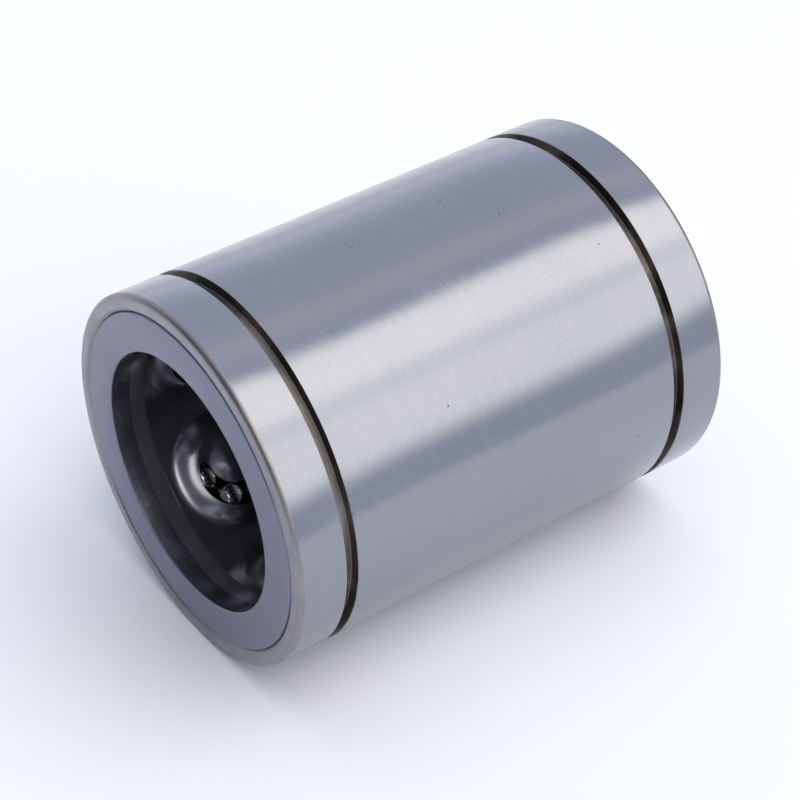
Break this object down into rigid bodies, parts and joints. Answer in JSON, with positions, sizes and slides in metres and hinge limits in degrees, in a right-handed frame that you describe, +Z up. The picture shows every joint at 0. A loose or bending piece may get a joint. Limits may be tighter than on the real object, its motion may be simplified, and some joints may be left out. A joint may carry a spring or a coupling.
{
  "type": "linear ball bushing",
  "caption": "Closed linear ball bushing: ground steel sleeve with retaining-ring grooves near both ends, flat end rings, a pressed steel retainer and recirculating ball circuits.",
  "frame": {"origin": "centre of the bore, at half the length", "axes": "+Y along the bore, from the front end (circuit 1's front turn) to the rear end; +Z up"},
  "size_m": [0.0952, 0.127, 0.0952],
  "materials": {
    "ground_steel": "hardened and finely ground outside, with unground heat-tinted grooves and edges",
    "ring_steel": "satin, fine turned",
    "pressed_steel": "pressed sheet, dark and smooth",
    "ball_steel": "polished bearing balls"
  },
  "bodies": {
    "housing": {"outer_cylinder": "ground_steel", "ball_retainer": "pressed_steel", "end_ring_front": "ring_steel", "end_ring_rear": "ring_steel"},
    "circuit_1_loaded_row": {"circuit_1_loaded_row_balls": "ball_steel"},
    "circuit_1_return_row": {"circuit_1_return_row_balls": "ball_steel"},
    "circuit_1_front_turn": {"circuit_1_front_turn_balls": "ball_steel"},
    "circuit_1_rear_turn": {"circuit_1_rear_turn_balls": "ball_steel"},
    "circuit_2_loaded_row": {"circuit_2_loaded_row_balls": "ball_steel"},
    "circuit_2_return_row": {"circuit_2_return_row_balls": "ball_steel"},
    "circuit_2_front_turn": {"circuit_2_front_turn_balls": "ball_steel"},
    "circuit_2_rear_turn": {"circuit_2_rear_turn_balls": "ball_steel"},
    "circuit_3_loaded_row": {"circuit_3_loaded_row_balls": "ball_steel"},
    "circuit_3_return_row": {"circuit_3_return_row_balls": "ball_steel"},
    "circuit_3_front_turn": {"circuit_3_front_turn_balls": "ball_steel"},
    "circuit_3_rear_turn": {"circuit_3_rear_turn_balls": "ball_steel"},
    "circuit_4_loaded_row": {"circuit_4_loaded_row_balls": "ball_steel"},
    "circuit_4_return_row": {"circuit_4_return_row_balls": "ball_steel"},
    "circuit_4_front_turn": {"circuit_4_front_turn_balls": "ball_steel"},
    "circuit_4_rear_turn": {"circuit_4_rear_turn_balls": "ball_steel"},
    "circuit_5_loaded_row": {"circuit_5_loaded_row_balls": "ball_steel"},
    "circuit_5_return_row": {"circuit_5_return_row_balls": "ball_steel"},
    "circuit_5_front_turn": {"circuit_5_front_turn_balls": "ball_steel"},
    "circuit_5_rear_turn": {"circuit_5_rear_turn_balls": "ball_steel"},
    "circuit_6_loaded_row": {"circuit_6_loaded_row_balls": "ball_steel"},
    "circuit_6_return_row": {"circuit_6_return_row_balls": "ball_steel"},
    "circuit_6_front_turn": {"circuit_6_front_turn_balls": "ball_steel"},
    "circuit_6_rear_turn": {"circuit_6_rear_turn_balls": "ball_steel"}
  },
  "joints": [
    {"name": "circuit_1_loaded_travel", "type": "slide", "parent": "housing", "child": "circuit_1_loaded_row", "axis": [0, 1, 0], "range_m": [-0.004, 0.004]},
    {"name": "circuit_1_return_travel", "type": "slide", "parent": "housing", "child": "circuit_1_return_row", "axis": [0, 1, 0], "range_m": [-0.004, 0.004]},
    {"name": "circuit_1_front_turn_travel", "type": "hinge", "parent": "housing", "child": "circuit_1_front_turn", "pos_m": [0.03461, -0.036, -0.00857], "axis": [-0.9905, 0, 0.1374], "range_deg": [-30, 30]},
    {"name": "circuit_1_rear_turn_travel", "type": "hinge", "parent": "housing", "child": "circuit_1_rear_turn", "pos_m": [0.03461, 0.036, -0.00857], "axis": [-0.9905, 0, 0.1374], "range_deg": [-30, 30]},
    {"name": "circuit_2_loaded_travel", "type": "slide", "parent": "housing", "child": "circuit_2_loaded_row", "axis": [0, 1, 0], "range_m": [-0.004, 0.004]},
    {"name": "circuit_2_return_travel", "type": "slide", "parent": "housing", "child": "circuit_2_return_row", "axis": [0, 1, 0], "range_m": [-0.004, 0.004]},
    {"name": "circuit_2_front_turn_travel", "type": "hinge", "parent": "housing", "child": "circuit_2_front_turn", "pos_m": [0.02473, -0.036, 0.02569], "axis": [-0.6143, 0, -0.7891], "range_deg": [-30, 30]},
    {"name": "circuit_2_rear_turn_travel", "type": "hinge", "parent": "housing", "child": "circuit_2_rear_turn", "pos_m": [0.02473, 0.036, 0.02569], "axis": [-0.6143, 0, -0.7891], "range_deg": [-30, 30]},
    {"name": "circuit_3_loaded_travel", "type": "slide", "parent": "housing", "child": "circuit_3_loaded_row", "axis": [0, 1, 0], "range_m": [-0.004, 0.004]},
    {"name": "circuit_3_return_travel", "type": "slide", "parent": "housing", "child": "circuit_3_return_row", "axis": [0, 1, 0], "range_m": [-0.004, 0.004]},
    {"name": "circuit_3_front_turn_travel", "type": "hinge", "parent": "housing", "child": "circuit_3_front_turn", "pos_m": [-0.00989, -0.036, 0.03426], "axis": [0.3762, 0, -0.9265], "range_deg": [-30, 30]},
    {"name": "circuit_3_rear_turn_travel", "type": "hinge", "parent": "housing", "child": "circuit_3_rear_turn", "pos_m": [-0.00989, 0.036, 0.03426], "axis": [0.3762, 0, -0.9265], "range_deg": [-30, 30]},
    {"name": "circuit_4_loaded_travel", "type": "slide", "parent": "housing", "child": "circuit_4_loaded_row", "axis": [0, 1, 0], "range_m": [-0.004, 0.004]},
    {"name": "circuit_4_return_travel", "type": "slide", "parent": "housing", "child": "circuit_4_return_row", "axis": [0, 1, 0], "range_m": [-0.004, 0.004]},
    {"name": "circuit_4_front_turn_travel", "type": "hinge", "parent": "housing", "child": "circuit_4_front_turn", "pos_m": [-0.03461, -0.036, 0.00857], "axis": [0.9905, 0, -0.1374], "range_deg": [-30, 30]},
    {"name": "circuit_4_rear_turn_travel", "type": "hinge", "parent": "housing", "child": "circuit_4_rear_turn", "pos_m": [-0.03461, 0.036, 0.00857], "axis": [0.9905, 0, -0.1374], "range_deg": [-30, 30]},
    {"name": "circuit_5_loaded_travel", "type": "slide", "parent": "housing", "child": "circuit_5_loaded_row", "axis": [0, 1, 0], "range_m": [-0.004, 0.004]},
    {"name": "circuit_5_return_travel", "type": "slide", "parent": "housing", "child": "circuit_5_return_row", "axis": [0, 1, 0], "range_m": [-0.004, 0.004]},
    {"name": "circuit_5_front_turn_travel", "type": "hinge", "parent": "housing", "child": "circuit_5_front_turn", "pos_m": [-0.02473, -0.036, -0.02569], "axis": [0.6143, 0, 0.7891], "range_deg": [-30, 30]},
    {"name": "circuit_5_rear_turn_travel", "type": "hinge", "parent": "housing", "child": "circuit_5_rear_turn", "pos_m": [-0.02473, 0.036, -0.02569], "axis": [0.6143, 0, 0.7891], "range_deg": [-30, 30]},
    {"name": "circuit_6_loaded_travel", "type": "slide", "parent": "housing", "child": "circuit_6_loaded_row", "axis": [0, 1, 0], "range_m": [-0.004, 0.004]},
    {"name": "circuit_6_return_travel", "type": "slide", "parent": "housing", "child": "circuit_6_return_row", "axis": [0, 1, 0], "range_m": [-0.004, 0.004]},
    {"name": "circuit_6_front_turn_travel", "type": "hinge", "parent": "housing", "child": "circuit_6_front_turn", "pos_m": [0.00989, -0.036, -0.03426], "axis": [-0.3762, 0, 0.9265], "range_deg": [-30, 30]},
    {"name": "circuit_6_rear_turn_travel", "type": "hinge", "parent": "housing", "child": "circuit_6_rear_turn", "pos_m": [0.00989, 0.036, -0.03426], "axis": [-0.3762, 0, 0.9265], "range_deg": [-30, 30]}
  ],
  "couplings": [
    {"joint": "circuit_1_return_travel", "follows": "circuit_1_loaded_travel", "ratio": -1},
    {"joint": "circuit_1_front_turn_travel", "follows": "circuit_1_loaded_travel", "rad_per_m": 130.9},
    {"joint": "circuit_1_rear_turn_travel", "follows": "circuit_1_loaded_travel", "rad_per_m": 130.9},
    {"joint": "circuit_2_return_travel", "follows": "circuit_2_loaded_travel", "ratio": -1},
    {"joint": "circuit_2_front_turn_travel", "follows": "circuit_2_loaded_travel", "rad_per_m": 130.9},
    {"joint": "circuit_2_rear_turn_travel", "follows": "circuit_2_loaded_travel", "rad_per_m": 130.9},
    {"joint": "circuit_3_return_travel", "follows": "circuit_3_loaded_travel", "ratio": -1},
    {"joint": "circuit_3_front_turn_travel", "follows": "circuit_3_loaded_travel", "rad_per_m": 130.9},
    {"joint": "circuit_3_rear_turn_travel", "follows": "circuit_3_loaded_travel", "rad_per_m": 130.9},
    {"joint": "circuit_4_return_travel", "follows": "circuit_4_loaded_travel", "ratio": -1},
    {"joint": "circuit_4_front_turn_travel", "follows": "circuit_4_loaded_travel", "rad_per_m": 130.9},
    {"joint": "circuit_4_rear_turn_travel", "follows": "circuit_4_loaded_travel", "rad_per_m": 130.9},
    {"joint": "circuit_5_return_travel", "follows": "circuit_5_loaded_travel", "ratio": -1},
    {"joint": "circuit_5_front_turn_travel", "follows": "circuit_5_loaded_travel", "rad_per_m": 130.9},
    {"joint": "circuit_5_rear_turn_travel", "follows": "circuit_5_loaded_travel", "rad_per_m": 130.9},
    {"joint": "circuit_6_return_travel", "follows": "circuit_6_loaded_travel", "ratio": -1},
    {"joint": "circuit_6_front_turn_travel", "follows": "circuit_6_loaded_travel", "rad_per_m": 130.9},
    {"joint": "circuit_6_rear_turn_travel", "follows": "circuit_6_loaded_travel", "rad_per_m": 130.9}
  ]
}
